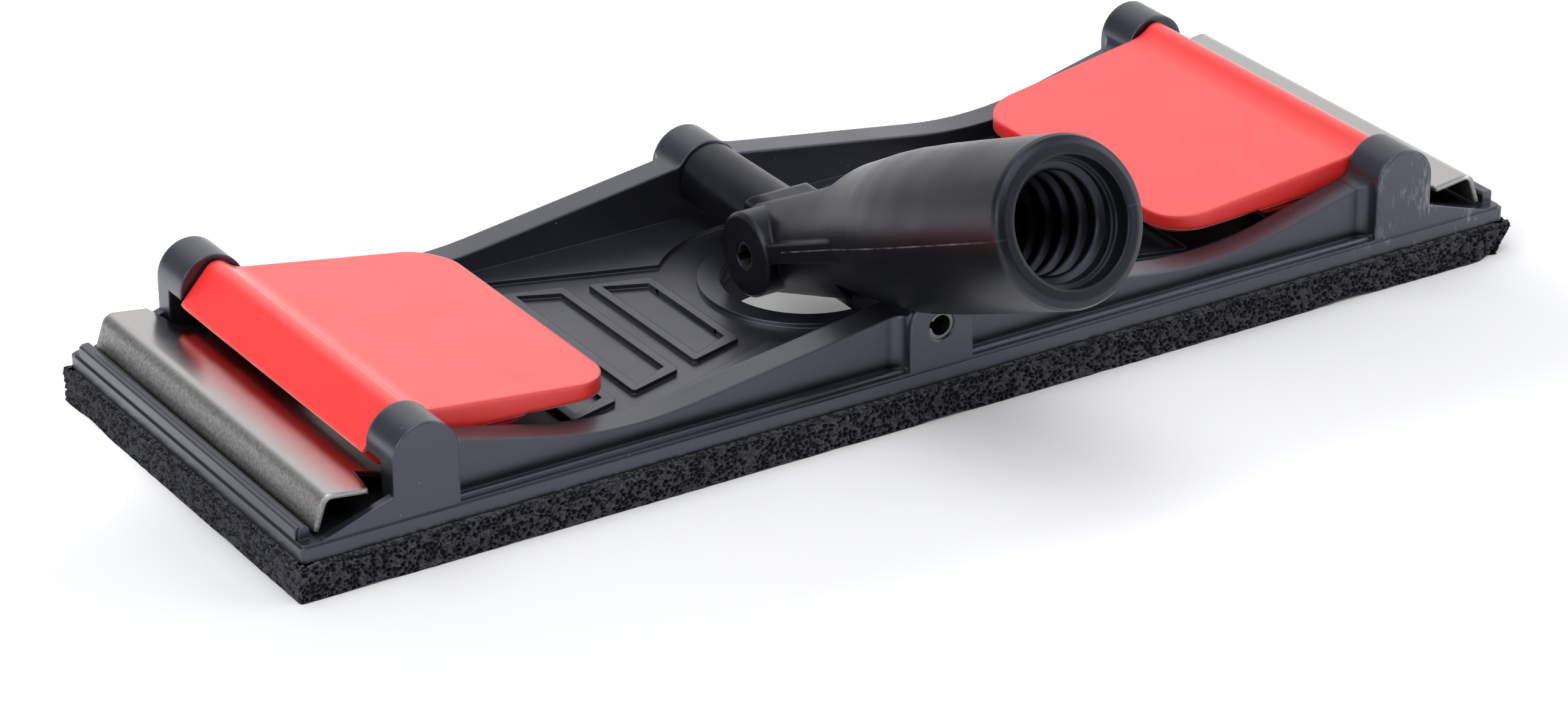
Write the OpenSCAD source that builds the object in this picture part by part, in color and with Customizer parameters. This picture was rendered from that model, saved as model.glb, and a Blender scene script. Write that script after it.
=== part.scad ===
// Head of a pole drywall sander: a moulded plate on a foam pad, a cam lever and a steel clamp plate
// at each end, and a universal joint that carries a threaded socket for the pole.
// Millimetres. X runs along the plate, Y across it, Z up from the underside of the foam.

/* [Plate] */
// Length of the moulded plate
plate_length = 235; // [220:1:260]
// Width of the moulded plate
plate_width = 82; // [78:0.5:90]
// Thickness of the moulded plate
plate_thickness = 2.9; // [2.6:0.1:3.6]
// Depth of the sunk panels in the deck
panel_depth = 0.8; // [0.4:0.1:1.2]
// Radius of the hole under the universal joint
hole_radius = 14.5; // [14.4:0.1:15.5]
// Distance of the ears and bosses from the plate edge
side_inset = 0.4; // [0.3:0.1:0.8]

/* [Side rails] */
// Distance of a rail from the plate edge
rail_inset = 3.5; // [3.2:0.1:3.8]
// Width of a rail
rail_width = 5.5; // [5:0.1:5.6]
// Height of a rail beside the pivot boss, above the deck
rail_height_boss = 9.7; // [9:0.1:9.8]
// Height of a rail beside the ear, above the deck
rail_height_ear = 9.6; // [9:0.1:10]
// Height above the deck where the two rail slopes would cross
rail_height_dip = 1.9; // [1.5:0.1:2.3]
// Radius of the curve in the dip of a rail
rail_curve = 70; // [50:1:80]
// Radius of the hollow where a rail's top runs up into a boss or an ear
rail_sweep = 2.4; // [1.5:0.1:3]
// Radius of the hollow where a rail's outer wall meets a boss or an ear
rail_hollow = 2; // [1:0.1:2.4]

/* [Foam pad] */
// Thickness of the foam
foam_thickness = 6.1; // [5:0.1:9]
// How far the foam stands out past the plate
foam_overhang = 1.35; // [0.5:0.05:2]

/* [Ears] */
// Distance of the lever pivots from the plate end
ear_from_end = 22.1; // [21.6:0.1:22.6]
// Radius of the rounded top of an ear
ear_radius = 5.8; // [5.5:0.1:6.2]
// Thickness of the closed outer wall of an ear
ear_wall = 4; // [3.6:0.1:4.2]
// Height of the lever pivots above the deck
ear_height = 9.5; // [9.4:0.1:9.8]

/* [Levers] */
// Radius of the moulded trunnions
trunnion_radius = 3; // [2.6:0.1:3.2]
// Running gap round a trunnion
trunnion_gap = 0.05; // [0.03:0.01:0.1]
// Gap between a lever and the ears beside it
lever_gap = 0.6; // [0.4:0.1:1.2]
// Length of a lever from its pivot to its finger edge
lever_reach = 40.8; // [38:0.1:42]
// Thickness of a lever at its finger edge
lever_thickness = 3.1; // [2.6:0.1:3.4]
// How much a lever narrows on each side towards its finger edge
lever_taper = 1.9; // [0:0.1:3]
// Height of the crest of a lever above its pivot, measured to the corner before it is rounded
crest_height = 5.9; // [5.5:0.1:6.2]
// How far a lever is set in below its parting line
lever_step = 0.5; // [0.2:0.1:0.8]
// Radius of the corners at the finger edge
lever_corner = 8; // [4:0.5:12]

/* [Clamp plates] */
// Thickness of the sheet steel
sheet_thickness = 0.8; // [0.6:0.1:0.9]
// Distance of the tail inboard of the lever pivot
tail_reach = 15.4; // [14:0.1:17]
// Half the width of the wings outboard of the ears
wing_half_width = 38.4; // [37:0.1:38.5]
// Gap between the tongue and the ears beside it
tongue_gap = 1; // [0.8:0.1:2]

/* [Universal joint] */
// Height of the cross axle above the deck
axle_height = 7; // [6.9:0.1:7.3]
// Radius of the cross axle
axle_radius = 5.8; // [5.4:0.1:5.9]
// Radius of the pivot bosses
boss_radius = 6.1; // [5.9:0.1:6.2]
// Gap between the axle ends and the bosses
axle_gap = 0.4; // [0.3:0.1:0.6]
// Half the hub width between the fork arms
hub_half_width = 6.3; // [6:0.1:6.4]
// Half the hub length along the axle
hub_half_length = 10; // [9:0.1:10.2]
// Outer radius of the spring pins
pin_radius = 2.5; // [2:0.1:2.6]
// Wall of the spring pins
pin_wall = 0.7; // [0.5:0.1:0.9]
// Width of the slot along a spring pin
pin_slot = 1.2; // [0.8:0.1:1.6]
// Running gap round the pins in the yoke
pin_gap = 0.05; // [0.03:0.01:0.1]
// Length of the axle pins
axle_pin_length = 25.4; // [20:0.1:26]

/* [Pole socket] */
// Lean of the socket towards the front, degrees from upright
socket_lean = 67.1; // [60:0.1:67.2]
// Lean of the socket the other way that its top slot allows
back_lean = 53; // [45:1:55]
// Length from the fork pin to the mouth
socket_reach = 82.6; // [78:0.1:95]
// Radius of the barrel
barrel_radius = 13.9; // [13.4:0.1:14.4]
// Radius of the plain bore the pole thread is cut in
bore_radius = 9.6; // [8.5:0.1:10]
// Depth of the bore from the mouth
bore_depth = 38; // [32:0.5:38.5]
// Radius of the counterbore at the mouth
mouth_radius = 10.5; // [10.2:0.1:11]
// Depth of the counterbore
mouth_depth = 3.5; // [2:0.1:6]
// Gap on each side of the hub inside the fork
fork_gap = 0.4; // [0.3:0.1:0.6]
// Half the width of the fork over its cheeks
fork_half_width = 12.6; // [12.2:0.1:12.7]
// Radius of the round cheeks at the fork pin
cheek_radius = 7.4; // [7:0.1:7.5]

/* [Hidden] */
$fn = 96;
deck_z = foam_thickness + plate_thickness;
panel_z = deck_z - panel_depth;
half_length = plate_length / 2;
half_width = plate_width / 2;
side_face = half_width - side_inset;
ear_x = half_length - ear_from_end;
ear_z = deck_z + ear_height;
ear_inboard = ear_x - ear_radius;
ear_outboard = ear_x + ear_radius;
journal_radius = trunnion_radius + trunnion_gap;
journal_end = side_face - ear_wall;
rail_outer = half_width - rail_inset;
rail_inner = rail_outer - rail_width;
ear_inner = rail_inner;
boss_inner = rail_inner;
axle_z = deck_z + axle_height;
axle_half = boss_inner - axle_gap;
pin_bore = pin_radius + pin_gap;
pin_end = side_face - 0.3;
pin_tip = pin_end - axle_pin_length;
lever_half = ear_inner - lever_gap;
tongue_half = ear_inner - tongue_gap;
tail_x = ear_x - tail_reach;
fork_half_gap = hub_half_width + fork_gap;
fork_pin_half = fork_half_width - 0.3;
ridge_inner = half_length - 2.7;
ridge_outer = half_length - 0.8;
ridge_z = deck_z + 2;

// Finished sub-parts, each its own solid

// A flat shape in X and Z, given thickness from Y = y0 to Y = y1
module across(y0, y1) {
    translate([0, y1, 0])
        rotate([90, 0, 0])
            linear_extrude(height = y1 - y0)
                children();
}

// A flat shape in Y and Z, given thickness from X = x0 to X = x1
module along(x0, x1) {
    translate([x0, 0, 0])
        rotate([90, 0, 90])
            linear_extrude(height = x1 - x0)
                children();
}

// The same thing at both ends
module both_ends() {
    children();
    mirror([1, 0, 0]) children();
}

// The same thing on both long sides
module both_sides() {
    children();
    mirror([0, 1, 0]) children();
}

// Rectangle with round corners
module rounded_rectangle(length, width, corner) {
    square([length - 2 * corner, width], center = true);
    square([length, width - 2 * corner], center = true);
    for (sx = [-1, 1])
        for (sy = [-1, 1])
            translate([sx * (length / 2 - corner), sy * (width / 2 - corner)])
                circle(r = corner);
}

// Direction of a step, of length one
function unit(step) = step / norm(step);

// Each corner of a polygon cut off that far along both its sides
function cut_corners(spots, cut) = [for (i = [0 : len(spots) - 1])
    each [for (next = [len(spots) - 1, 1])
        spots[i] + cut * unit(spots[(i + next) % len(spots)] - spots[i])]];

// Flat outline from corners [x, y, radius], anticlockwise, each turned with a true arc
module rounded_outline(corners) {
    last = len(corners) - 1;
    spots = [for (c = corners) [c[0], c[1]]];
    backs = [for (i = [0 : last]) unit(spots[i == 0 ? last : i - 1] - spots[i])];
    aheads = [for (i = [0 : last]) unit(spots[i == last ? 0 : i + 1] - spots[i])];
    halves = [for (i = [0 : last]) acos(backs[i] * aheads[i]) / 2];
    starts = [for (i = [0 : last]) spots[i] + backs[i] * corners[i][2] / tan(halves[i])];
    ends = [for (i = [0 : last]) spots[i] + aheads[i] * corners[i][2] / tan(halves[i])];
    middles = [for (i = [0 : last]) spots[i] + unit(backs[i] + aheads[i]) * corners[i][2] / sin(halves[i])];
    // just past the chord between the arc's ends, so that the pieces overlap and leave no seam
    inners = [for (i = [0 : last]) (starts[i] + ends[i]) / 2 + unit(backs[i] + aheads[i]) * 0.2];
    turns = [for (i = [0 : last]) corners[i][2] == 0 ? 0 : sign(cross(aheads[i], backs[i]))];
    difference() {
        union() {
            polygon([for (i = [0 : last]) each (turns[i] == 0 ? [spots[i]] : [starts[i], ends[i]])]);
            for (i = [0 : last])
                if (turns[i] > 0)
                    intersection() {
                        polygon([starts[i], spots[i], ends[i], inners[i]]);
                        translate(middles[i]) circle(r = corners[i][2]);
                    }
        }
        for (i = [0 : last])
            if (turns[i] < 0)
                intersection() {
                    polygon([starts[i], spots[i], ends[i], inners[i]]);
                    translate(middles[i]) circle(r = corners[i][2]);
                }
    }
}

// Open-cell foam sheet
module foam_pad() {
    color("#1b1b1c")
    difference() {
        linear_extrude(height = foam_thickness)
            rounded_rectangle(plate_length + 2 * foam_overhang, plate_width + 2 * foam_overhang, 0.8);
        translate([0, 0, -1])
            cylinder(r = hole_radius + 0.1, h = foam_thickness + 2);
    }
}

// Side view of one half of a rail: two slopes with a curve where they meet
rail_start = boss_radius - 1;
rail_stop = ear_inboard + 1;
rail_dip_x = ear_x - 36.65;
fall_angle = atan2(rail_height_boss - rail_height_dip, rail_dip_x - rail_start);
rise_angle = atan2(rail_height_ear - rail_height_dip, rail_stop - rail_dip_x);
turn_half = (fall_angle + rise_angle) / 2;
curve_run = rail_curve * tan(turn_half);
curve_lift = rail_curve / cos(turn_half);
curve_tilt = (rise_angle - fall_angle) / 2;
module rail_profile() {
    difference() {
        union() {
            polygon([
                [rail_start, panel_z],
                [rail_start, deck_z + rail_height_boss],
                [rail_dip_x - curve_run * cos(fall_angle), deck_z + rail_height_dip + curve_run * sin(fall_angle)],
                [rail_dip_x + curve_run * cos(rise_angle), deck_z + rail_height_dip + curve_run * sin(rise_angle)],
                [rail_stop, deck_z + rail_height_ear],
                [rail_stop, panel_z]
            ]);
            sweep_block([0, axle_z], boss_radius, boss_sweep);
            sweep_block([ear_x, ear_z], ear_radius, ear_sweep);
        }
        translate([rail_dip_x - curve_lift * sin(curve_tilt), deck_z + rail_height_dip + curve_lift * cos(curve_tilt)])
            circle(r = rail_curve, $fn = 360);
        translate(boss_sweep) circle(r = rail_sweep);
        translate(ear_sweep) circle(r = rail_sweep);
    }
}

// Middle of the hollow between a round post and the rail top that runs through a spot at a slope;
// the hollow bites a little into both so that they meet cleanly
sweep_bite = 0.03;
function sweep_middle(post, radius, spot, slope, side) =
    let (
        run = side * [cos(slope), sin(slope)],
        up = [-sin(slope), cos(slope)],
        rise = rail_sweep - sweep_bite - (post - spot) * up,
        reach = radius + rail_sweep - sweep_bite
    )
    post + up * rise + run * sqrt(reach * reach - rise * rise);
boss_sweep = sweep_middle([0, axle_z], boss_radius, [rail_start, deck_z + rail_height_boss], -fall_angle, 1);
ear_sweep = sweep_middle([ear_x, ear_z], ear_radius, [rail_stop, deck_z + rail_height_ear], rise_angle, -1);

// What the hollow is cut from
module sweep_block(post, radius, middle) {
    polygon([post + unit(middle - post) * (radius - 1), middle, middle - [0, rail_sweep + 3]]);
}

// Plan view of one half of a rail, hollowed where its outer wall meets the boss and the ear
module rail_plan() {
    translate([0, rail_inner]) square([ear_x, rail_width]);
    difference() {
        translate([boss_radius - 1, rail_outer - 1]) square([rail_hollow + 1, rail_hollow + 1]);
        translate([boss_radius + rail_hollow, rail_outer + rail_hollow]) circle(r = rail_hollow);
    }
    difference() {
        translate([ear_inboard - rail_hollow, rail_outer - 1]) square([rail_hollow + 1, rail_hollow + 1]);
        translate([ear_inboard - rail_hollow, rail_outer + rail_hollow]) circle(r = rail_hollow);
    }
}

module rail() {
    intersection() {
        across(rail_inner - 1, side_face)
            rail_profile();
        translate([0, 0, foam_thickness])
            linear_extrude(height = 20)
                rail_plan();
    }
}

// Ear at one corner: closed outer wall, hooded journal open below and outboard
module ear() {
    difference() {
        across(ear_inner, side_face) {
            translate([ear_x, ear_z]) circle(r = ear_radius);
            translate([ear_inboard, panel_z]) square([2 * ear_radius, ear_z - panel_z]);
        }
        translate([ear_x, ear_inner - 1, ear_z])
            rotate([-90, 0, 0])
                cylinder(r = journal_radius, h = journal_end - ear_inner + 1);
        translate([ear_x - journal_radius, ear_inner - 1, deck_z])
            cube([ear_radius + journal_radius + 1, journal_end - ear_inner + 1, ear_height - 0.9]);
    }
    across(side_face - 1.7, side_face)
        polygon([
            [ear_outboard - 0.5, panel_z],
            [ear_outboard - 0.5, deck_z + 4.2],
            [ear_outboard, deck_z + 3.9],
            [half_length - 4, deck_z],
            [half_length - 4, panel_z]
        ]);
}

// Block that holds one axle pin
module pivot_boss() {
    across(boss_inner, side_face) {
        translate([0, axle_z]) circle(r = boss_radius);
        translate([-boss_radius, panel_z]) square([2 * boss_radius, axle_z - panel_z]);
    }
}

// Raised rib frame standing in the sunk panel, its ends on the slanting lines that follow the panel's border
module rib_frame(x0, x1, y0, y1) {
    difference() {
        polygon(cut_corners([[x0, -y0], [x1, -y1], [x1, y1], [x0, y0]], 0.6));
        polygon([[x0 + 1.7, 2 - y0], [x1 - 1.7, 2 - y1], [x1 - 1.7, y1 - 2], [x0 + 1.7, y0 - 2]]);
    }
}

// Outline of the sunk panel at one end
panel_half = rail_inner - 0.3;
module deck_panel() {
    difference() {
        polygon([[0, -17.4], [18.2, -17.4], [47.8, -27.5], [60, -panel_half], [ear_inboard - 1, -panel_half],
            [ear_inboard - 1, panel_half], [60, panel_half], [47.8, 27.5], [18.2, 17.4], [0, 17.4]]);
        rib_frame(22.4, 33, 14.2, 17.3);
        rib_frame(36.8, 47.2, 18.7, 21.8);
        rib_frame(51.1, 60.9, 23.1, 25.8);
    }
}

module base_plate() {
    color("#222326")
    difference() {
        union() {
            difference() {
                translate([0, 0, foam_thickness]) {
                    linear_extrude(height = plate_thickness - 0.4)
                        rounded_rectangle(plate_length, plate_width, 0.8);
                    linear_extrude(height = plate_thickness)
                        rounded_rectangle(plate_length - 0.8, plate_width - 0.8, 0.8);
                }
                translate([0, 0, panel_z])
                    linear_extrude(height = panel_depth + 1)
                        difference() {
                            union() {
                                both_ends() deck_panel();
                                circle(r = 25.7);
                            }
                            circle(r = 18.8);
                        }
            }
            both_sides()
                translate([-ear_x, rail_outer + 1.6, deck_z])
                    rotate([0, 90, 0])
                        cylinder(r = 0.55, h = 2 * ear_x, $fn = 32);
            both_sides() both_ends() rail();
            both_sides() both_ends() ear();
            both_sides() pivot_boss();
            both_ends()
                across(-side_face + 2.1, side_face - 2.1)
                    rounded_outline([
                        [ridge_inner, panel_z, 0],
                        [ridge_outer, panel_z, 0],
                        [ridge_outer, ridge_z, 0.6],
                        [ridge_inner, ridge_z, 0.6]
                    ]);
        }
        translate([0, 0, foam_thickness - 1])
            cylinder(r = hole_radius, h = plate_thickness + 3);
        translate([0, 0, deck_z - 0.4])
            cylinder(r1 = hole_radius, r2 = hole_radius + 0.8, h = 0.8);
        translate([0, half_width + 1, axle_z])
            rotate([90, 0, 0])
                cylinder(r = pin_radius, h = plate_width + 2);
    }
}

// Side view of a lever, its pivot at the origin and its finger edge towards +X:
// flat outer face from the nose up to the crest, hollow sweep, long thin finger plate, cam below
module lever_profile() {
    rounded_outline([
        [-6.4, -1.5, 0.8],
        [-3.4, -4.7, 1.2],
        [1.4, -5.6, 3],
        [22.2, -4.4, 0.8],
        [23.4, -3.3, 0.6],
        [lever_reach, -2.2 - lever_thickness, 0],
        [lever_reach, -2.2, 0],
        [3.9, 2.85, 7.5],
        [0.3, crest_height, 2.45]
    ]);
}

// Plan view of a lever, or of its part below the parting line, which is set in
module lever_plan(inset) {
    half = lever_half - inset;
    reach = lever_reach - inset;
    translate([0, 0, -10])
        linear_extrude(height = 20)
            rounded_outline([
                [-8, -half, 0],
                [6, -half, 0],
                [reach, lever_taper - half, lever_corner - inset],
                [reach, half - lever_taper, lever_corner - inset],
                [6, half, 0],
                [-8, half, 0]
            ]);
}

// Lever at the left end, with its trunnions
module clamp_lever() {
    translate([-ear_x, 0, ear_z]) {
        intersection() {
            across(-lever_half, lever_half) lever_profile();
            lever_plan(0);
            union() {
                across(-lever_half - 1, lever_half + 1)
                    polygon([[-9, -1.4], [lever_reach + 1, -4.7], [lever_reach + 1, 9], [-9, 9]]);
                lever_plan(lever_step);
            }
        }
        rotate([90, 0, 0])
            cylinder(r = trunnion_radius, h = 2 * (journal_end - 0.4), center = true);
    }
}

module clamp_lever_left() {
    color("#e8352e") clamp_lever();
}

module clamp_lever_right() {
    color("#e8352e") mirror([1, 0, 0]) clamp_lever();
}

// Side view of a bent strip from the corners [x, z, radius] of its middle line, with a round first end
module bent_strip(corners, thickness) {
    last = len(corners) - 1;
    half = thickness / 2;
    spots = [for (c = corners) [c[0], c[1]]];
    steps = [for (i = [0 : last - 1]) unit(spots[i + 1] - spots[i])];
    lefts = [for (step = steps) [-step[1], step[0]]];
    mitres = [for (i = [0 : last]) i == 0 ? lefts[0] : i == last ? lefts[last - 1]
        : unit(lefts[i - 1] + lefts[i]) / (unit(lefts[i - 1] + lefts[i]) * lefts[i])];
    bends = [for (i = [0 : last]) i == 0 || i == last ? 0 : sign(cross(steps[i - 1], steps[i]))];
    rights = [for (i = [0 : last]) each [concat(spots[i] - half * mitres[i],
        bends[i] == 0 ? 0 : corners[i][2] + bends[i] * half)]];
    backs = [for (i = [last : -1 : 0]) each [concat(spots[i] + half * mitres[i],
        bends[i] == 0 ? 0 : corners[i][2] - bends[i] * half)]];
    rounded_outline(concat(rights, backs));
    translate(spots[0]) circle(d = thickness);
}

// Clamp plate at the right end: tongue between the ears, wings outboard of them, bent-down lip
sheet_tail_z = panel_z + 0.3 + sheet_thickness / 2;
module clamp_plate() {
    intersection() {
        across(-wing_half_width, wing_half_width)
            bent_strip([
                [tail_x, sheet_tail_z, 0],
                [ear_x - 2.8, deck_z + 0.8, 6],
                [ear_x + 8.6, deck_z + 5, 4],
                [ear_x + 16.4, deck_z + 6, 1.6],
                [half_length - 3.9, deck_z + 0.6, 0]
            ], sheet_thickness);
        translate([0, 0, foam_thickness])
            linear_extrude(height = 20)
                polygon([
                    [tail_x - 1, -tongue_half],
                    [ear_x + 7.6, -tongue_half],
                    [ear_x + 9.1, -wing_half_width],
                    [half_length, -wing_half_width],
                    [half_length, wing_half_width],
                    [ear_x + 9.1, wing_half_width],
                    [ear_x + 7.6, tongue_half],
                    [tail_x - 1, tongue_half]
                ]);
    }
}

module clamp_plate_right() {
    color("#c4c8cc") clamp_plate();
}

module clamp_plate_left() {
    color("#c4c8cc") mirror([1, 0, 0]) clamp_plate();
}

// Cross axle and hub of the universal joint
module yoke() {
    color("#26272a")
    translate([0, 0, axle_z])
    difference() {
        union() {
            rotate([90, 0, 0])
                cylinder(r = axle_radius, h = 2 * axle_half, center = true);
            intersection() {
                along(-hub_half_width, hub_half_width)
                    rounded_rectangle(2 * hub_half_length, 2 * hub_half_width, 3);
                across(-hub_half_length, hub_half_length)
                    rounded_rectangle(2 * hub_half_width, 2 * hub_half_width, 2.4);
            }
        }
        rotate([0, 90, 0])
            cylinder(r = pin_bore, h = 4 * hub_half_width, center = true);
        both_sides()
            translate([0, pin_tip - 0.8, 0])
                rotate([-90, 0, 0])
                    cylinder(r = pin_bore, h = axle_pin_length + 10);
    }
}

// Slotted spring pin along Z, from its tip at the origin
module spring_pin(length) {
    difference() {
        cylinder(r = pin_radius, h = length);
        translate([0, 0, -1])
            cylinder(r = pin_radius - pin_wall, h = length + 2);
        translate([0, -pin_slot / 2, -1])
            cube([2 * pin_radius, pin_slot, length + 2]);
    }
}

module axle_pin_front() {
    color("#5b5d60")
    translate([0, -pin_tip, axle_z])
        rotate([90, 0, 0])
            rotate([0, 0, 165])
                spring_pin(axle_pin_length);
}

module axle_pin_back() {
    color("#5b5d60")
    translate([0, pin_tip, axle_z])
        rotate([-90, 0, 0])
            rotate([0, 0, 20])
                spring_pin(axle_pin_length);
}

module fork_pin() {
    color("#5b5d60")
    translate([-fork_pin_half, 0, axle_z])
        rotate([0, 90, 0])
            rotate([0, 0, 60])
                spring_pin(2 * fork_pin_half);
}

// Space that the base takes up in the fork when the socket leans one way:
// the axle and the pivot boss below, with flared edges beside the rails
module lean_space(lean, height, reach) {
    rotate([-lean, 0, 0]) {
        translate([-fork_half_gap, -reach, -30])
            cube([2 * fork_half_gap, reach + 30, height + 30]);
        across(-reach, -24)
            polygon([
                [-fork_half_gap - 0.1, height - 1.2],
                [-fork_half_gap - 4, height - 3.2],
                [-fork_half_gap - 4, -30],
                [fork_half_gap + 4, -30],
                [fork_half_gap + 4, height - 3.2],
                [fork_half_gap + 0.1, height - 1.2]
            ]);
    }
}

// Fork, neck and barrel, standing upright with the fork pin along X at the origin
module socket_upright() {
    difference() {
        union() {
            intersection() {
                rotate_extrude()
                    polygon([
                        [0, -9],
                        [barrel_radius - 4.1, -9],
                        [barrel_radius - 3, 10],
                        [barrel_radius - 2.4, 20],
                        [barrel_radius - 1.95, 26],
                        [barrel_radius - 1.4, 31],
                        [barrel_radius - 0.8, 36],
                        [barrel_radius - 0.35, 42],
                        [barrel_radius - 0.1, 50],
                        [barrel_radius, 62],
                        [barrel_radius, socket_reach - 1.5],
                        [barrel_radius - 0.45, socket_reach - 0.5],
                        [barrel_radius - 1.5, socket_reach],
                        [0, socket_reach]
                    ]);
                along(-30, 30) {
                    circle(r = cheek_radius + 0.6);
                    translate([-20, 0]) square([40, 2 * socket_reach]);
                }
            }
            both_ends() {
                translate([fork_half_gap - 1, 0, 0])
                    rotate([0, 90, 0])
                        cylinder(r = cheek_radius, h = fork_half_width - fork_half_gap + 0.5);
                translate([fork_half_width - 0.5, 0, 0])
                    rotate([0, 90, 0])
                        cylinder(r1 = cheek_radius, r2 = cheek_radius - 0.5, h = 0.5);
                translate([fork_half_gap - 1, -1.9, 0])
                    cube([fork_half_width + 0.6 - fork_half_gap, 3.3, 30]);
            }
        }
        lean_space(socket_lean, boss_radius + 0.35, side_face + 0.4);
        mirror([0, 1, 0])
            rotate([-back_lean, 0, 0])
                translate([-fork_half_gap, -60, -30])
                    cube([2 * fork_half_gap, 90, axle_radius + 30.5]);
        translate([0, 0, socket_reach - bore_depth])
            cylinder(r = bore_radius, h = bore_depth + 1);
        translate([0, 0, socket_reach - mouth_depth])
            cylinder(r = mouth_radius, h = mouth_depth + 1);
        rotate([0, 90, 0])
            cylinder(r = pin_radius, h = 4 * fork_half_width, center = true);
    }
}

module pole_socket() {
    color("#26272a")
    translate([0, 0, axle_z])
        rotate([socket_lean, 0, 0])
            socket_upright();
}

foam_pad();
base_plate();
clamp_lever_left();
clamp_lever_right();
clamp_plate_left();
clamp_plate_right();
yoke();
pole_socket();
axle_pin_front();
axle_pin_back();
fork_pin();
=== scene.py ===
"""Looks of the pole drywall sander head: materials, foam, pole thread, plate details, light and camera.

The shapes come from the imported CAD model. The materials also round the look of their edges. This script
replaces the foam slab by a porous one, stands the pole thread in its bore, adds the rib sides and end faces
that the CAD plate lacks, and sets the picture up. Lengths are in metres, or in millimetres where it says so.
"""

import math

import bpy
import numpy as np
from mathutils import Matrix, Vector, noise


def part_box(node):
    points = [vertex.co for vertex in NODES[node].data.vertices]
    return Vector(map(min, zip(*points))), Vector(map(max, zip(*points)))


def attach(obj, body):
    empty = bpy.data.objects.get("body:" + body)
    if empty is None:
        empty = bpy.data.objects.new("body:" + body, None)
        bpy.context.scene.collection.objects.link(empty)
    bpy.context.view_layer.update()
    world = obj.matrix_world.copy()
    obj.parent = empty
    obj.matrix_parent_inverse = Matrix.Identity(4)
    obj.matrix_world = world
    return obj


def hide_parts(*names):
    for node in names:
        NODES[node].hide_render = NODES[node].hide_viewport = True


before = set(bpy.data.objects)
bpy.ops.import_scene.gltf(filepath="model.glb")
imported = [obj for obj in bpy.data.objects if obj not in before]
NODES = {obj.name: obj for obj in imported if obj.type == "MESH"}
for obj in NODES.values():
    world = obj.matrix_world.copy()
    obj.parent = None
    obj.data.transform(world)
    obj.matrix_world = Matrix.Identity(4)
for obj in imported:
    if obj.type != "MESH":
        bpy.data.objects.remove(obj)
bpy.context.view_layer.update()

MM = 0.001

# Joint centre and lean of the socket at rest, as in the CAD
PIVOT = Vector((0.0, 0.0, 16.0 * MM))
LEAN = math.radians(67.1)
SOCKET_AXIS = Vector((0.0, -math.sin(LEAN), math.cos(LEAN)))
SOCKET_UP = Vector((0.0, math.cos(LEAN), math.sin(LEAN)))
SOCKET_SIDE = Vector((1.0, 0.0, 0.0))

# Plane of the levers' parting line, as in the CAD: its height at |x| = 0 and its rise with |x|
PARTING_HEIGHT = 10.317 * MM
PARTING_SLOPE = 0.06496


def srgb(code):
    """Linear RGBA from an sRGB hex code."""
    parts = [int(code[i : i + 2], 16) / 255 for i in (1, 3, 5)]
    return tuple(c / 12.92 if c <= 0.04045 else ((c + 0.055) / 1.055) ** 2.4 for c in parts) + (1.0,)


def add(tree, kind, inputs=None, **settings):
    """Adds a node with its settings; an input, by name or number, takes a value or another node's output."""
    made = tree.nodes.new(kind)
    for name, value in settings.items():
        setattr(made, name, value)
    for name, value in (inputs or {}).items():
        if isinstance(value, bpy.types.NodeSocket):
            tree.links.new(value, made.inputs[name])
        else:
            made.inputs[name].default_value = value
    return made


def new_material(name):
    """An empty material with a principled shader joined to its output, and its place in the piece's frame."""
    material = bpy.data.materials.new(name)
    material.use_nodes = True
    tree = material.node_tree
    tree.nodes.clear()
    shader = add(tree, "ShaderNodeBsdfPrincipled")
    add(tree, "ShaderNodeOutputMaterial", {"Surface": shader.outputs["BSDF"]})
    place = add(tree, "ShaderNodeTexCoord").outputs["Object"]
    return material, tree, shader, place


def specks(tree, place, spacing, size, share):
    """1 on sparse round specks: one in a cell of that spacing, on that share of the cells."""
    cells = add(tree, "ShaderNodeTexVoronoi", {"Vector": place, "Scale": 1.0 / spacing})
    near = add(
        tree,
        "ShaderNodeMapRange",
        {"Value": cells.outputs["Distance"], "From Min": size / spacing, "From Max": 0.5 * size / spacing},
    )
    chance = add(tree, "ShaderNodeSeparateColor", {"Color": cells.outputs["Color"]})
    chosen = add(tree, "ShaderNodeMath", {0: chance.outputs["Red"], 1: share}, operation="LESS_THAN")
    shown = add(tree, "ShaderNodeMath", {0: near.outputs[0], 1: chosen.outputs[0]}, operation="MULTIPLY")
    return shown.outputs[0]


# Materials


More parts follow.
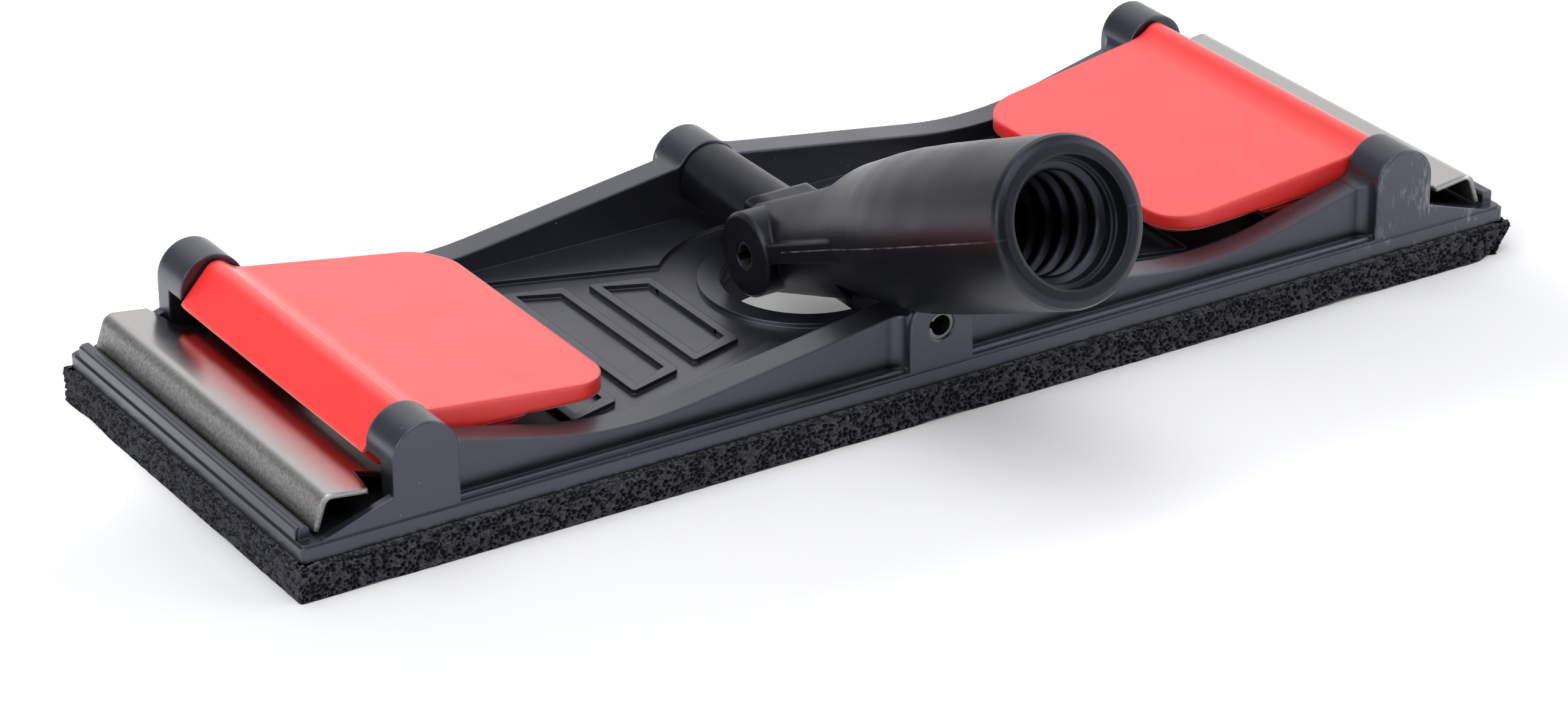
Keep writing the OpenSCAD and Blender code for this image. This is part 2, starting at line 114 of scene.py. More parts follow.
def moulded_black(name, base, rough, shine, grain, dust):
    """Black moulded plastic: spark-eroded grain gives a broken bluish sheen, with light dust on it."""
    material, tree, shader, place = new_material(name)
    fine = add(tree, "ShaderNodeTexNoise", {"Vector": place, "Scale": 1 / (0.3 * MM), "Detail": 2.0})
    broad = add(tree, "ShaderNodeTexNoise", {"Vector": place, "Scale": 1 / (14 * MM), "Detail": 3.0})
    dusty = specks(tree, place, spacing=1.7 * MM, size=0.1 * MM, share=dust)
    # inputs 6 and 7 of a colour mix are its two colours
    colour = add(tree, "ShaderNodeMix", {0: dusty, 6: srgb(base), 7: srgb("#a9aab0")}, data_type="RGBA")
    tree.links.new(colour.outputs[2], shader.inputs["Base Color"])
    sheen = add(
        tree,
        "ShaderNodeMapRange",
        {
            "Value": broad.outputs["Fac"],
            "From Min": 0.3,
            "From Max": 0.7,
            "To Min": rough - 0.05,
            "To Max": rough + 0.06,
        },
    )
    tree.links.new(sheen.outputs[0], shader.inputs["Roughness"])
    # edges are rounded in the look: slightly on the deck, more on the ears, rails and joint above it
    height = add(tree, "ShaderNodeSeparateXYZ", {0: place}).outputs["Z"]
    round_to = add(
        tree,
        "ShaderNodeMapRange",
        {
            "Value": height,
            "From Min": 9.6 * MM,
            "From Max": 12.5 * MM,
            "To Min": 0.3 * MM,
            "To Max": 0.8 * MM,
        },
    )
    edges = add(tree, "ShaderNodeBevel", {"Radius": round_to.outputs[0]}, samples=6)
    relief = add(
        tree,
        "ShaderNodeBump",
        {"Height": fine.outputs["Fac"], "Distance": grain, "Normal": edges.outputs["Normal"]},
    )
    tree.links.new(relief.outputs["Normal"], shader.inputs["Normal"])
    shader.inputs["Specular IOR Level"].default_value = shine
    shader.inputs["Specular Tint"].default_value = srgb("#e2e5ff")
    return material, tree, shader, place, colour.outputs[2]


def plate_black():
    """The plate's ABS, with chalky rub marks on the edge and ear of its right end."""
    material, tree, shader, place, colour = moulded_black(
        "black ABS, spark-eroded grain", base="#17181c", rough=0.31, shine=1.0, grain=0.01 * MM, dust=0.12
    )
    # a gloss skin over the grain, which shows on the deck where it reflects the backdrop
    shader.inputs["Coat Weight"].default_value = 0.3
    shader.inputs["Coat Roughness"].default_value = 0.3
    parts = add(tree, "ShaderNodeSeparateXYZ", {0: place})
    right = add(
        tree, "ShaderNodeMapRange", {"Value": parts.outputs["X"], "From Min": 78 * MM, "From Max": 116 * MM}
    )
    near = add(
        tree,
        "ShaderNodeMapRange",
        {"Value": parts.outputs["Y"], "From Min": -39.5 * MM, "From Max": -40.4 * MM},
    )
    drawn = add(tree, "ShaderNodeMapping", {"Vector": place, "Scale": (1.0, 1.0, 0.3)})
    marks = add(
        tree,
        "ShaderNodeTexNoise",
        {"Vector": drawn.outputs[0], "Scale": 1 / (0.9 * MM), "Detail": 4.0, "Roughness": 0.7},
    )
    patch = add(tree, "ShaderNodeTexNoise", {"Vector": place, "Scale": 1 / (7 * MM), "Detail": 1.0})
    both = add(tree, "ShaderNodeMath", {0: marks.outputs["Fac"], 1: patch.outputs["Fac"]}, operation="ADD")
    rubbed = add(
        tree,
        "ShaderNodeMapRange",
        {"Value": both.outputs[0], "From Min": 1.1, "From Max": 1.28, "To Max": 0.7},
    )
    end = add(tree, "ShaderNodeMath", {0: right.outputs[0], 1: near.outputs[0]}, operation="MULTIPLY")
    amount = add(tree, "ShaderNodeMath", {0: rubbed.outputs[0], 1: end.outputs[0]}, operation="MULTIPLY")
    pale = add(tree, "ShaderNodeMix", {0: amount.outputs[0], 6: colour, 7: srgb("#9fa0a4")}, data_type="RGBA")
    tree.links.new(pale.outputs[2], shader.inputs["Base Color"])
    return material


def joint_black():
    """The joint's nylon, with the worn pale line of the mould's parting along both sides of the socket."""
    material, tree, shader, place, colour = moulded_black(
        "black glass-filled nylon, moulded",
        base="#0a0b0d",
        rough=0.34,
        shine=0.45,
        grain=0.007 * MM,
        dust=0.03,
    )
    from_pivot = add(tree, "ShaderNodeVectorMath", {0: place, 1: PIVOT}, operation="SUBTRACT").outputs[0]
    rise = add(tree, "ShaderNodeVectorMath", {0: from_pivot, 1: SOCKET_UP}, operation="DOT_PRODUCT")
    along = add(tree, "ShaderNodeVectorMath", {0: from_pivot, 1: SOCKET_AXIS}, operation="DOT_PRODUCT")
    off = add(tree, "ShaderNodeMath", {0: rise.outputs["Value"]}, operation="ABSOLUTE")
    line = add(
        tree, "ShaderNodeMapRange", {"Value": off.outputs[0], "From Min": 0.16 * MM, "From Max": 0.06 * MM}
    )
    # it runs from the fork, fades short of the mouth, and stays outside the bore
    ends = add(
        tree,
        "ShaderNodeMapRange",
        {
            "Value": along.outputs["Value"],
            "From Min": 76 * MM,
            "From Max": 79 * MM,
            "To Min": 1.0,
            "To Max": 0.15,
        },
    )
    beyond = add(tree, "ShaderNodeMath", {0: along.outputs["Value"], 1: 12 * MM}, operation="GREATER_THAN")
    side = add(tree, "ShaderNodeSeparateXYZ", {0: place}).outputs["X"]
    across = add(tree, "ShaderNodeMath", {0: side}, operation="ABSOLUTE")
    outside = add(tree, "ShaderNodeMath", {0: across.outputs[0], 1: 10.6 * MM}, operation="GREATER_THAN")
    run = add(tree, "ShaderNodeMath", {0: beyond.outputs[0], 1: outside.outputs[0]}, operation="MULTIPLY")
    reach = add(tree, "ShaderNodeMath", {0: run.outputs[0], 1: ends.outputs[0]}, operation="MULTIPLY")
    wear = add(tree, "ShaderNodeTexNoise", {"Vector": place, "Scale": 1 / (3 * MM), "Detail": 4.0})
    wear_and_shade = add(
        tree,
        "ShaderNodeMapRange",
        {"Value": wear.outputs["Fac"], "From Min": 0.35, "From Max": 0.7, "To Max": 0.55},
    )
    shown = add(tree, "ShaderNodeMath", {0: line.outputs[0], 1: reach.outputs[0]}, operation="MULTIPLY")
    amount = add(tree, "ShaderNodeMath", {0: shown.outputs[0], 1: wear_and_shade.outputs[0]}, operation="MULTIPLY")
    pale = add(tree, "ShaderNodeMix", {0: amount.outputs[0], 6: colour, 7: srgb("#8e8f95")}, data_type="RGBA")
    tree.links.new(pale.outputs[2], shader.inputs["Base Color"])
    return material


def red_abs():
    """Red injection-moulded ABS: semi-gloss, faint flow waves, few pale flecks, and a painted highlight along
    the parting line.
    """
    material, tree, shader, place = new_material("red ABS, injection moulded")
    waves = add(tree, "ShaderNodeTexNoise", {"Vector": place, "Scale": 1 / (9 * MM), "Detail": 2.0})
    fine = add(tree, "ShaderNodeTexNoise", {"Vector": place, "Scale": 1 / (0.35 * MM), "Detail": 2.0})
    flecks = specks(tree, place, spacing=6 * MM, size=0.3 * MM, share=0.1)
    # the parting line lies in a plane that rises with |x|, as in the CAD
    parts = add(tree, "ShaderNodeSeparateXYZ", {0: place})
    out = add(tree, "ShaderNodeMath", {0: parts.outputs["X"]}, operation="ABSOLUTE")
    height = add(
        tree,
        "ShaderNodeMath",
        {0: out.outputs[0], 1: -PARTING_SLOPE, 2: parts.outputs["Z"]},
        operation="MULTIPLY_ADD",
    )
    above = add(tree, "ShaderNodeMath", {0: height.outputs[0], 1: PARTING_HEIGHT}, operation="SUBTRACT")
    off = add(tree, "ShaderNodeMath", {0: above.outputs[0]}, operation="ABSOLUTE")
    # painted highlight: a ragged pale line within 0.2 mm of the parting plane, for the bright line along the
    # lever's edge there
    parting_highlight = add(
        tree, "ShaderNodeMapRange", {"Value": off.outputs[0], "From Min": 0.2 * MM, "From Max": 0.1 * MM}
    )
    ragged = add(
        tree,
        "ShaderNodeMapRange",
        {"Value": waves.outputs["Fac"], "From Min": 0.3, "From Max": 0.6, "To Min": 0.2},
    )
    line = add(tree, "ShaderNodeMath", {0: parting_highlight.outputs[0], 1: ragged.outputs[0]}, operation="MULTIPLY")
    highlight_and_flecks = add(tree, "ShaderNodeMath", {0: line.outputs[0], 1: flecks}, operation="MAXIMUM")
    # the pale flecks and the painted highlight both pale the red towards #f7aaa2
    colour = add(
        tree, "ShaderNodeMix", {0: highlight_and_flecks.outputs[0], 6: srgb("#f02c28"), 7: srgb("#f7aaa2")}, data_type="RGBA"
    )
    tree.links.new(colour.outputs[2], shader.inputs["Base Color"])
    gloss = add(
        tree,
        "ShaderNodeMapRange",
        {"Value": waves.outputs["Fac"], "From Min": 0.3, "From Max": 0.7, "To Min": 0.3, "To Max": 0.38},
    )
    tree.links.new(gloss.outputs[0], shader.inputs["Roughness"])
    # the rims look rounder than their modelled rounding
    rims = add(tree, "ShaderNodeBevel", {"Radius": 1.1 * MM}, samples=6)
    relief = add(
        tree,
        "ShaderNodeBump",
        {"Height": fine.outputs["Fac"], "Distance": 0.003 * MM, "Normal": rims.outputs["Normal"]},
    )
    tree.links.new(relief.outputs["Normal"], shader.inputs["Normal"])
    shader.inputs["Specular IOR Level"].default_value = 0.7
    # the moulding's gloss skin: a second soft sheen, seen where the tops reflect the backdrop
    shader.inputs["Coat Weight"].default_value = 0.7
    shader.inputs["Coat Roughness"].default_value = 0.34
    return material


def brushed_stainless():
    """Stainless sheet: rolling lines that run from its tail to its lip, faint smears, and a rougher lip
    painted darker in mottled patches as painted shade.
    """
    material, tree, shader, place = new_material("stainless sheet, cold rolled")
    along = add(tree, "ShaderNodeMapping", {"Vector": place, "Scale": (0.015, 1.0, 0.015)})
    lines = add(
        tree,
        "ShaderNodeTexNoise",
        {"Vector": along.outputs["Vector"], "Scale": 1 / (0.25 * MM), "Detail": 3.0, "Roughness": 0.6},
    )
    smears = add(tree, "ShaderNodeTexNoise", {"Vector": place, "Scale": 1 / (11 * MM), "Detail": 3.0})
    shader.inputs["Metallic"].default_value = 1.0
    gloss = add(
        tree,
        "ShaderNodeMapRange",
        {"Value": smears.outputs["Fac"], "From Min": 0.3, "From Max": 0.7, "To Min": 0.16, "To Max": 0.24},
    )
    # the lip is rougher, and painted darker in mottled patches: painted shade for the dim floor that it
    # mirrors
    side = add(tree, "ShaderNodeSeparateXYZ", {0: place}).outputs["X"]
    out = add(tree, "ShaderNodeMath", {0: side}, operation="ABSOLUTE")
    lip = add(
        tree, "ShaderNodeMapRange", {"Value": out.outputs[0], "From Min": 111.2 * MM, "From Max": 112.2 * MM}
    )
    matt = add(
        tree, "ShaderNodeMath", {0: lip.outputs[0], 1: 0.3, 2: gloss.outputs[0]}, operation="MULTIPLY_ADD"
    )
    tree.links.new(matt.outputs[0], shader.inputs["Roughness"])
    grain = add(
        tree,
        "ShaderNodeTexNoise",
        {"Vector": place, "Scale": 1 / (0.6 * MM), "Detail": 4.0, "Roughness": 0.7},
    )
    shade_mottle = add(
        tree,
        "ShaderNodeMapRange",
        {"Value": grain.outputs["Fac"], "From Min": 0.35, "From Max": 0.65, "To Min": 0.4, "To Max": 1.0},
    )
    wear_and_shade = add(tree, "ShaderNodeMath", {0: lip.outputs[0], 1: shade_mottle.outputs[0]}, operation="MULTIPLY")
    # painted shade: the lip's colour darkens towards #7d7b78 in mottled patches
    colour = add(
        tree, "ShaderNodeMix", {0: wear_and_shade.outputs[0], 6: srgb("#bbb9b8"), 7: srgb("#7d7b78")}, data_type="RGBA"
    )
    tree.links.new(colour.outputs[2], shader.inputs["Base Color"])
    # the bend looks rounder than its modelled radius
    bend = add(tree, "ShaderNodeBevel", {"Radius": 1.2 * MM}, samples=6)
    relief = add(
        tree,
        "ShaderNodeBump",
        {"Height": lines.outputs["Fac"], "Distance": 0.0025 * MM, "Normal": bend.outputs["Normal"]},
    )
    tree.links.new(relief.outputs["Normal"], shader.inputs["Normal"])
    return material


def spring_steel():
    """Dark oiled spring steel of the slotted pins."""
    material, tree, shader, place = new_material("spring steel, oil blackened")
    stains = add(tree, "ShaderNodeTexNoise", {"Vector": place, "Scale": 1 / (2 * MM), "Detail": 3.0})
    colour = add(
        tree,
        "ShaderNodeMix",
        {0: stains.outputs["Fac"], 6: srgb("#57585c"), 7: srgb("#8d8d90")},
        data_type="RGBA",
    )
    tree.links.new(colour.outputs[2], shader.inputs["Base Color"])
    shader.inputs["Metallic"].default_value = 1.0
    shader.inputs["Roughness"].default_value = 0.38
    return material


def open_cell_foam():
    """Near-black open-cell foam: matt, with paler cell walls, and pores painted darker the deeper they are:
    painted shade in the hollows.
    """
    material, tree, shader, place = new_material("neoprene foam, open cell")
    sink = add(tree, "ShaderNodeAttribute", attribute_name="sink").outputs["Fac"]
    small = add(tree, "ShaderNodeTexNoise", {"Vector": place, "Scale": 1 / (0.25 * MM), "Detail": 3.0})
    broad = add(tree, "ShaderNodeTexNoise", {"Vector": place, "Scale": 1 / (7 * MM), "Detail": 2.0})
    wall = add(
        tree,
        "ShaderNodeMapRange",
        {"Value": broad.outputs["Fac"], "From Min": 0.35, "From Max": 0.7, "To Max": 0.35},
    )
    tone = add(
        tree,
        "ShaderNodeMix",
        {0: wall.outputs[0], 6: srgb("#3d3e45"), 7: srgb("#5a5b63")},
        data_type="RGBA",
    )
    # painted shade: a pore is painted darker the deeper it sinks, down to near-black #08080a at 0.45 mm deep
    depth = add(tree, "ShaderNodeMapRange", {"Value": sink, "From Min": 0.0, "From Max": 0.45})
    colour = add(
        tree, "ShaderNodeMix", {0: depth.outputs[0], 6: tone.outputs[2], 7: srgb("#08080a")}, data_type="RGBA"
    )
    tree.links.new(colour.outputs[2], shader.inputs["Base Color"])
    shader.inputs["Roughness"].default_value = 0.8
    shader.inputs["Specular IOR Level"].default_value = 0.35
    relief = add(tree, "ShaderNodeBump", {"Height": small.outputs["Fac"], "Distance": 0.05 * MM})
    tree.links.new(relief.outputs["Normal"], shader.inputs["Normal"])
    return material


# Pieces


def dress(obj, material):
    """Gives a piece its one material."""
    obj.data.materials.clear()
    obj.data.materials.append(material)


def smooth_facets(obj, angle):
    """Shades a piece smooth across facets that meet at less than the angle; its shape stays as it is."""
    tree = bpy.data.node_groups.new("smooth facets", "GeometryNodeTree")
    for way in ("INPUT", "OUTPUT"):
        tree.interface.new_socket("Geometry", in_out=way, socket_type="NodeSocketGeometry")
    source = add(tree, "NodeGroupInput")
    joined = add(
        tree, "GeometryNodeMergeByDistance", {"Geometry": source.outputs[0], "Distance": 0.0005 * MM}
    )
    meet = add(tree, "GeometryNodeInputMeshEdgeAngle")
    sharp = add(
        tree, "FunctionNodeCompare", {0: meet.outputs["Unsigned Angle"], 1: angle}, operation="GREATER_THAN"
    )
    shaded = add(
        tree,
        "GeometryNodeSetMeshNormal",
        {
            "Mesh": joined.outputs[0],
            "Remove Custom": True,
            "Edge Sharpness": sharp.outputs[0],
            "Face Sharpness": False,
        },
    )
    add(tree, "NodeGroupOutput", {0: shaded.outputs[0]})
    obj.modifiers.new("smooth facets", "NODES").node_group = tree
    # the large flat faces keep their own normals
    flats = obj.modifiers.new("flat faces", "WEIGHTED_NORMAL")
    flats.keep_sharp = True


def mesh_piece(name, vertices, faces, material, body):
    """A new smooth mesh piece that rides on a CAD body."""
    mesh = bpy.data.meshes.new(name)
    mesh.from_pydata(vertices, [], faces)
    mesh.update()
    mesh.shade_smooth()
    obj = bpy.data.objects.new(name, mesh)
    bpy.context.scene.collection.objects.link(obj)
    dress(obj, material)
    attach(obj, body)
    return obj


# Details of the plate


def plate_piece(name, first, second, material):
    """A straight piece of the plate between two like outlines, given as points in millimetres."""
    count = len(first)
    vertices = [tuple(value * MM for value in point) for point in first + second]
    faces = [tuple(range(count)), tuple(range(2 * count - 1, count - 1, -1))]
    for i in range(count):
        j = (i + 1) % count
        faces.append((j, i, i + count, j + count))
    piece = mesh_piece(name, vertices, faces, material, "base")
    piece.data.set_sharp_from_angle(angle=math.radians(30))


def make_rib(end, material):
    """The rib frame's side next to the centre hole, which the round sunk floor cuts out of the CAD plate."""
    # millimetres: the side's two faces, the sunk floor, how far the ends run into the frame, and the heights
    inner, outer = 22.4, 24.1
    floor_radius, overlap = 25.7, 0.7
    low, high = 8.1, 9.02
    edge = [(x, math.sqrt(floor_radius**2 - x**2) + overlap) for x in np.linspace(inner, outer, 6)]
    outline = edge + [(x, -y) for x, y in reversed(edge)]
    if end < 0:
        outline = [(-x, y) for x, y in reversed(outline)]
    rings = [[(x, y, z) for x, y in outline] for z in (low, high)]
    plate_piece("deck_rib_left" if end < 0 else "deck_rib_right", *rings, material)


def make_end_face(end, material):
    """The end ridge's outer face, nearly flush with the plate's end, where the CAD ridge leaves a ledge."""
    # millimetres: the face's back and front, its heights, its rounded top edge and half its width
    inner, outer = 116.1, 117.12
    low, high = 8.3, 11.0
    corner, half_width = 0.4, 38.1
    turn = [math.radians(a) for a in (0, 30, 60, 90)]
    outline = [(inner, low), (outer, low)]
    outline += [(outer - corner * (1 - math.cos(a)), high - corner * (1 - math.sin(a))) for a in turn]
    outline += [(inner, high)]
    if end < 0:
        outline = [(-x, z) for x, z in reversed(outline)]
    rings = [[(x, y, z) for x, z in outline] for y in (-half_width, half_width)]
    plate_piece("end_face_left" if end < 0 else "end_face_right", *rings, material)


# Foam pad


def pad_outline(half_x, half_y, corner, step):
    """Points round a rectangle with small round corners, evenly spaced, with their outward directions."""
    points = []
    for cx, cy, start in ((1, 1, 0), (-1, 1, 90), (-1, -1, 180), (1, -1, 270)):
        for k in range(5):
            a = math.radians(start + 22.5 * k)
            x = cx * (half_x - corner) + corner * math.cos(a)
            y = cy * (half_y - corner) + corner * math.sin(a)
            points.append((x, y))
    points = np.array(points + points[:1])
    lengths = np.concatenate([[0], np.cumsum(np.hypot(*np.diff(points, axis=0).T))])
    count = int(lengths[-1] / step)
    at = np.linspace(0, lengths[-1], count, endpoint=False)
    even = np.stack([np.interp(at, lengths, points[:, i]) for i in (0, 1)], axis=1)
    along = np.roll(even, -1, axis=0) - np.roll(even, 1, axis=0)
    out = np.stack([along[:, 1], -along[:, 0]], axis=1)
    return even, out / np.linalg.norm(out, axis=1)[:, None]


def hollow_share(distances, wall, slope):
    """0 on the walls between cells and 1 in their hollows, from the distances to the two nearest seeds."""
    return min(1.0, max(0.0, (distances[1] - distances[0] - wall) / slope))


def pore_depth(p):
    """Depth in millimetres of the open cells cut through at a point: round hollows between thin walls."""
    cells_per_mm, pores_per_mm, pore_shift = 1.15, 2.3, Vector((7.3, 1.1, 4.2))
    cell_depth, small_depth = 0.6, 0.22
    big, spots = noise.voronoi(p * cells_per_mm)
    small = noise.voronoi(p * pores_per_mm + pore_shift)[0]
    # some cells kept most of their skin
    skinned = 0.25 if noise.noise(spots[0] * 5.3) > 0.22 else 1.0
    hollow = hollow_share(big, wall=0.04, slope=0.25)
    pore = hollow_share(small, wall=0.05, slope=0.3)
    return cell_depth * skinned * hollow * hollow * (3 - 2 * hollow) + small_depth * pore


def uneven_cut(p):
    """Depth in millimetres of the slow waves in the cut face, some six and some two millimetres long."""
    mean_depth = 0.12
    broad, broad_per_mm = 0.14, 0.16
    short, short_per_mm = 0.2, 0.5
    return mean_depth + broad * noise.noise(p * broad_per_mm) + short * noise.noise(p * short_per_mm)


def chipped_corner(p):
    """Depth in millimetres of the chip at the near right corner, deepest at the sole."""
    corner_x, corner_y = 118.8, -42.3
    reach, height, depth = 7.0, 5.0, 2.6
    away = math.hypot(p.x - corner_x, p.y - corner_y)
    return max(0.0, 1.0 - away / reach) * max(0.0, 1.0 - p.z / height) * depth


def torn_sole(p):
    """Height in millimetres to which the sole's edge is torn off, in shallow bites a few millimetres long."""
    height, bites_per_mm, layer, spared = 0.9, 0.13, 3.3, 0.05
    bite = noise.noise(Vector((bites_per_mm * p.x, bites_per_mm * p.y, layer)))
    return height * max(0.0, bite - spared)


def foam_skin(outline, out, top):
    """Points of the torn skin round the pad, the depths of their pores, and the rows of its section."""
    # the section in millimetres: out of the outline and up, from under the plate round to under the sole
    clearance, edge, face_rows = 0.02, 0.2, 26
    under_plate = [(-d, top / MM - clearance) for d in (2.6, 1.5, 1.2, 0.95, 0.7, 0.45, 0.2)]
    cut_face = [(0.0, z) for z in np.linspace(top / MM - edge, edge, face_rows)]
    under_sole = [(-d, clearance) for d in (0.2, 0.5, 0.9, 1.5, 2.6)]
    section = under_plate + cut_face + under_sole
    face_from = len(under_plate)
    sole_from = face_from + face_rows
    vertices, sinks = [], []
    for (x, y), (ox, oy) in zip(outline, out):
        for k, (inset, z) in enumerate(section):
            px, py, pz = x + ox * inset * MM, y + oy * inset * MM, z * MM
            pores = 0.0
            # the innermost rows stay flat
            if 1 < k < len(section) - 1:
                p = Vector((px, py, pz)) / MM
                wave = uneven_cut(p)
                pores = pore_depth(p)
                if k < face_from:
                    # under the plate the dents deepen row by row towards the edge
                    pz -= 0.7 * (pores + max(0.0, wave)) * MM * min(1.0, (k - 1) / 3)
                    sink = 0.3 * wave * MM
                elif k < sole_from:
                    sink = (pores + max(0.0, wave) + chipped_corner(p)) * MM
                else:
                    pz += 0.6 * max(0.0, wave) * MM
                    sink = chipped_corner(p) * MM
                px, py = px - ox * sink, py - oy * sink
                if k >= face_from:
                    pz = max(pz, torn_sole(p) * MM)
            vertices.append((px, py, max(pz, 0.0)))
            sinks.append(pores)
    return vertices, sinks, section


def make_foam(material):
    """Foam slab with torn open-cell edges, standing for the CAD pad."""
    # the pad's corners and the spacing of points along its edge; the centre hole and the points round it
    corner, step = 0.8 * MM, 0.24 * MM
    hole_radius, ring = 14.6 * MM, 96
    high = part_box("foam_pad")[1]
    outline, out = pad_outline(high.x, high.y, corner, step)
    vertices, sinks, section = foam_skin(outline, out, high.z)
    rows, count = len(section), len(outline)
    faces = []
    for i in range(count):
        a, b = i * rows, ((i + 1) % count) * rows
        for k in range(rows - 1):
            faces.append((a + k, a + k + 1, b + k + 1, b + k))
    # flat top and sole inside the skin, each a ring round the centre hole, and the hole's wall
    rims = []
    for z in (section[0][1] * MM, section[-1][1] * MM):
        rims.append(len(vertices))
        for k in range(ring):
            a = 2 * math.pi * k / ring
            vertices.append((hole_radius * math.cos(a), hole_radius * math.sin(a), z))
            sinks.append(0.0)
    for k in range(ring):
        n = (k + 1) % ring
        faces.append((rims[0] + k, rims[0] + n, rims[1] + n, rims[1] + k))
    angles = np.arctan2(outline[:, 1], outline[:, 0]) % (2 * math.pi)
    nearest = (np.round(angles / (2 * math.pi) * ring).astype(int)) % ring
    for rim, row, flip in ((rims[0], 0, False), (rims[1], rows - 1, True)):
        for i in range(count):
            j = (i + 1) % count
            a, b, m, n = i * rows + row, j * rows + row, rim + nearest[i], rim + nearest[j]
            face = (a, b, m) if m == n else (a, b, n, m)
            faces.append(face[::-1] if flip else face)
    pad = mesh_piece("foam_pad_cut", vertices, faces, material, "base")
    pad.data.attributes.new("sink", "FLOAT", "POINT").data.foreach_set("value", sinks)
    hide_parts("foam_pad")


# Pole thread


def socket_point(side, up, along):
    """Row-frame point of the leaning socket from millimetres across, up and along its axis."""
    return PIVOT + (SOCKET_SIDE * side + SOCKET_UP * up + SOCKET_AXIS * along) * MM


def make_thread(material):
    """Right-hand pole thread standing in the bore: thin rounded ridges, five turns to the inch."""
    # millimetres: pitch and radii, and where the thread starts and stops along the socket's axis
    pitch, root, crest = 5.08, 9.62, 8.2
    start, stop = 46.0, 79.3
    # steps in a turn, and over how many of them the ridge grows from nothing at each end
    steps, runout = 64, 10
    flank = ((root, 1.0), (9.2, 0.82), (8.6, 0.55), (8.3, 0.3))
    profile = [(radius, -offset) for radius, offset in flank] + [(crest, 0.0)] + list(reversed(flank))
    turns = (stop - start) / pitch
    count = int(turns * steps)
    vertices, faces = [], []
    for i in range(count + 1):
        angle = 2 * math.pi * i / steps
        along = start + (stop - start) * i / count
        grow = min(1.0, i / runout, (count - i) / runout)
        for radius, offset in profile:
            r = root - (root - radius) * grow
            at = along + offset * (0.4 + 0.6 * grow)
            vertices.append(socket_point(r * math.cos(angle), r * math.sin(angle), at))
    width = len(profile)
    for i in range(count):
        for k in range(width - 1):
            a = i * width + k
            faces.append((a, a + 1, a + width + 1, a + width))
    piece = mesh_piece("pole_thread", vertices, faces, material, "socket_body")


# Stage, light and camera


def white_paper():
    """White paper sweep: matt, and a little whiter in the picture away from the tool's shadow."""
    strip_middle, strip_half = (-25 * MM, -45 * MM, 0.0), (130 * MM, 30 * MM, 0.0)
    material = bpy.data.materials.new("white paper sweep")
    material.use_nodes = True
    tree = material.node_tree
    tree.nodes.clear()
    path = add(tree, "ShaderNodeLightPath").outputs
    mirrored = add(
        tree,
        "ShaderNodeMath",
        {0: path["Is Glossy Ray"], 1: path["Is Transmission Ray"]},
        operation="MAXIMUM",
    )
    seen = add(
        tree, "ShaderNodeMath", {0: path["Is Camera Ray"], 1: mirrored.outputs[0]}, operation="MAXIMUM"
    )
    place = add(tree, "ShaderNodeTexCoord").outputs["Object"]
    # distance from the strip in front of the tool where its shadow lies
    middle = add(tree, "ShaderNodeVectorMath", {0: place, 1: strip_middle}, operation="SUBTRACT")
    half = add(tree, "ShaderNodeVectorMath", {0: middle.outputs[0]}, operation="ABSOLUTE")
    past = add(tree, "ShaderNodeVectorMath", {0: half.outputs[0], 1: strip_half}, operation="SUBTRACT")
    beyond = add(tree, "ShaderNodeVectorMath", {0: past.outputs[0], 1: (0.0, 0.0, 0.0)}, operation="MAXIMUM")
    away = add(tree, "ShaderNodeVectorMath", {0: beyond.outputs[0]}, operation="LENGTH").outputs["Value"]
    far = add(
        tree,
        "ShaderNodeMapRange",
        {"Value": away, "From Max": 55 * MM, "To Max": 0.5},
        interpolation_type="SMOOTHSTEP",
    )
    lift = add(tree, "ShaderNodeMath", {0: seen.outputs[0], 1: far.outputs[0]}, operation="MULTIPLY")
    paper = add(tree, "ShaderNodeBsdfDiffuse", {"Color": srgb("#e0e0e0")})
    # a little more white in the picture and its reflections, which leaves the shadow on the paper
    white = add(tree, "ShaderNodeEmission", {"Color": srgb("#ffffff"), "Strength": lift.outputs[0]})
    both = add(tree, "ShaderNodeAddShader", {0: paper.outputs[0], 1: white.outputs[0]})
    add(tree, "ShaderNodeOutputMaterial", {"Surface": both.outputs[0]})
    return material


def make_floor(material):
    """The sheet of paper that the tool stands on, just below its sole."""
    half, gap = 3.0, 0.02 * MM
    mesh = bpy.data.meshes.new("floor")
    corners = [(-half, -half, 0), (half, -half, 0), (half, half, 0), (-half, half, 0)]
    mesh.from_pydata(corners, [], [(0, 1, 2, 3)])
    floor = bpy.data.objects.new("floor", mesh)
    floor.location.z = -gap
    bpy.context.scene.collection.objects.link(floor)
    dress(floor, material)


